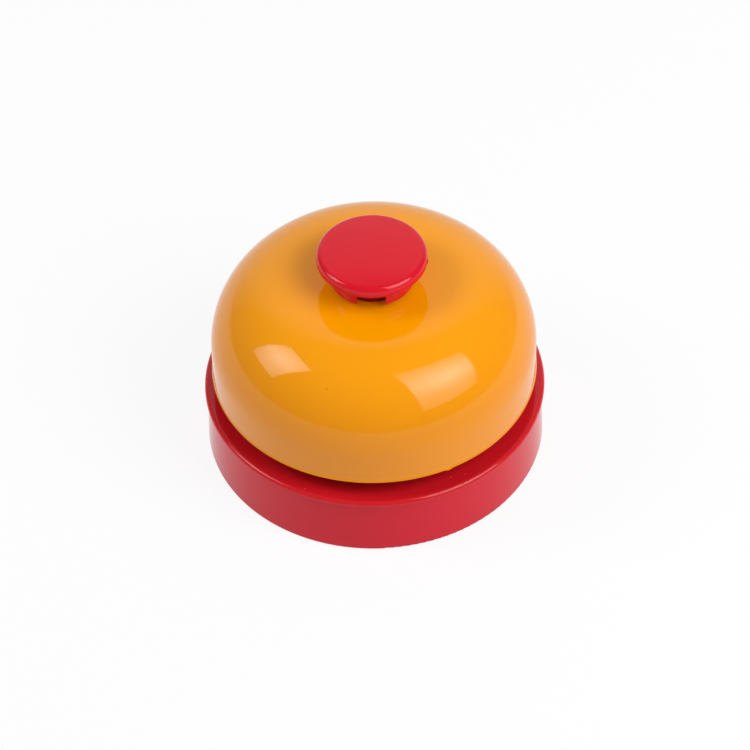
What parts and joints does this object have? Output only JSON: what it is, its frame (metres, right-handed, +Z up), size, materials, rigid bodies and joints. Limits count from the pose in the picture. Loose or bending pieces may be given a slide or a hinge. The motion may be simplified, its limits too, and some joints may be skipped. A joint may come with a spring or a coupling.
{
  "type": "pet training bell",
  "caption": "Round table bell for pet training: a domed gong on a low round base, rung by a push button that drives a rocker and hammer inside.",
  "frame": {"origin": "on the table under the middle of the base", "axes": "+Z up along the bell's axis; the hammer lies on the +X side and one of the button's notches faces -Y to within 2 degrees"},
  "size_m": [0.072, 0.072, 0.0529],
  "materials": {
    "red_plastic": "satin moulded red",
    "button_plastic": "glossy moulded red",
    "inner_plastic": "satin moulded red",
    "gong_enamel": "glossy yellow-orange enamel on steel",
    "steel": "zinc plated",
    "brass": "turned",
    "rubber": "matte black",
    "washer": "natural nylon",
    "rocker_plastic": "natural acetal"
  },
  "bodies": {
    "base": {"base_tray": "red_plastic", "base_cover": "red_plastic", "base_screws": "steel", "rubber_feet": "rubber", "bell_post": "inner_plastic", "post_screws": "steel", "gong_washer": "washer", "gong": "gong_enamel", "gong_nut": "inner_plastic", "pivot_pin": "steel", "return_spring": "steel"},
    "button": {"push_button": "button_plastic", "plunger_rod": "steel", "retaining_clip": "steel"},
    "hammer": {"hammer_lever": "rocker_plastic", "hammer_head": "brass"}
  },
  "joints": [
    {"name": "button_press", "type": "slide", "parent": "base", "child": "button", "axis": [0, 0, -1], "range_m": [0, 0.0011], "stiffness_N_per_m": 400, "springref_m": -0.003, "deforming": ["return_spring"]},
    {"name": "hammer_swing", "type": "hinge", "parent": "base", "child": "hammer", "pos_m": [0.00655, 0, 0.0308], "axis": [0, -1, 0], "range_deg": [0, 9.7]}
  ],
  "couplings": [
    {"joint": "hammer_swing", "follows": "button_press", "rad_per_m": 152.67}
  ]
}
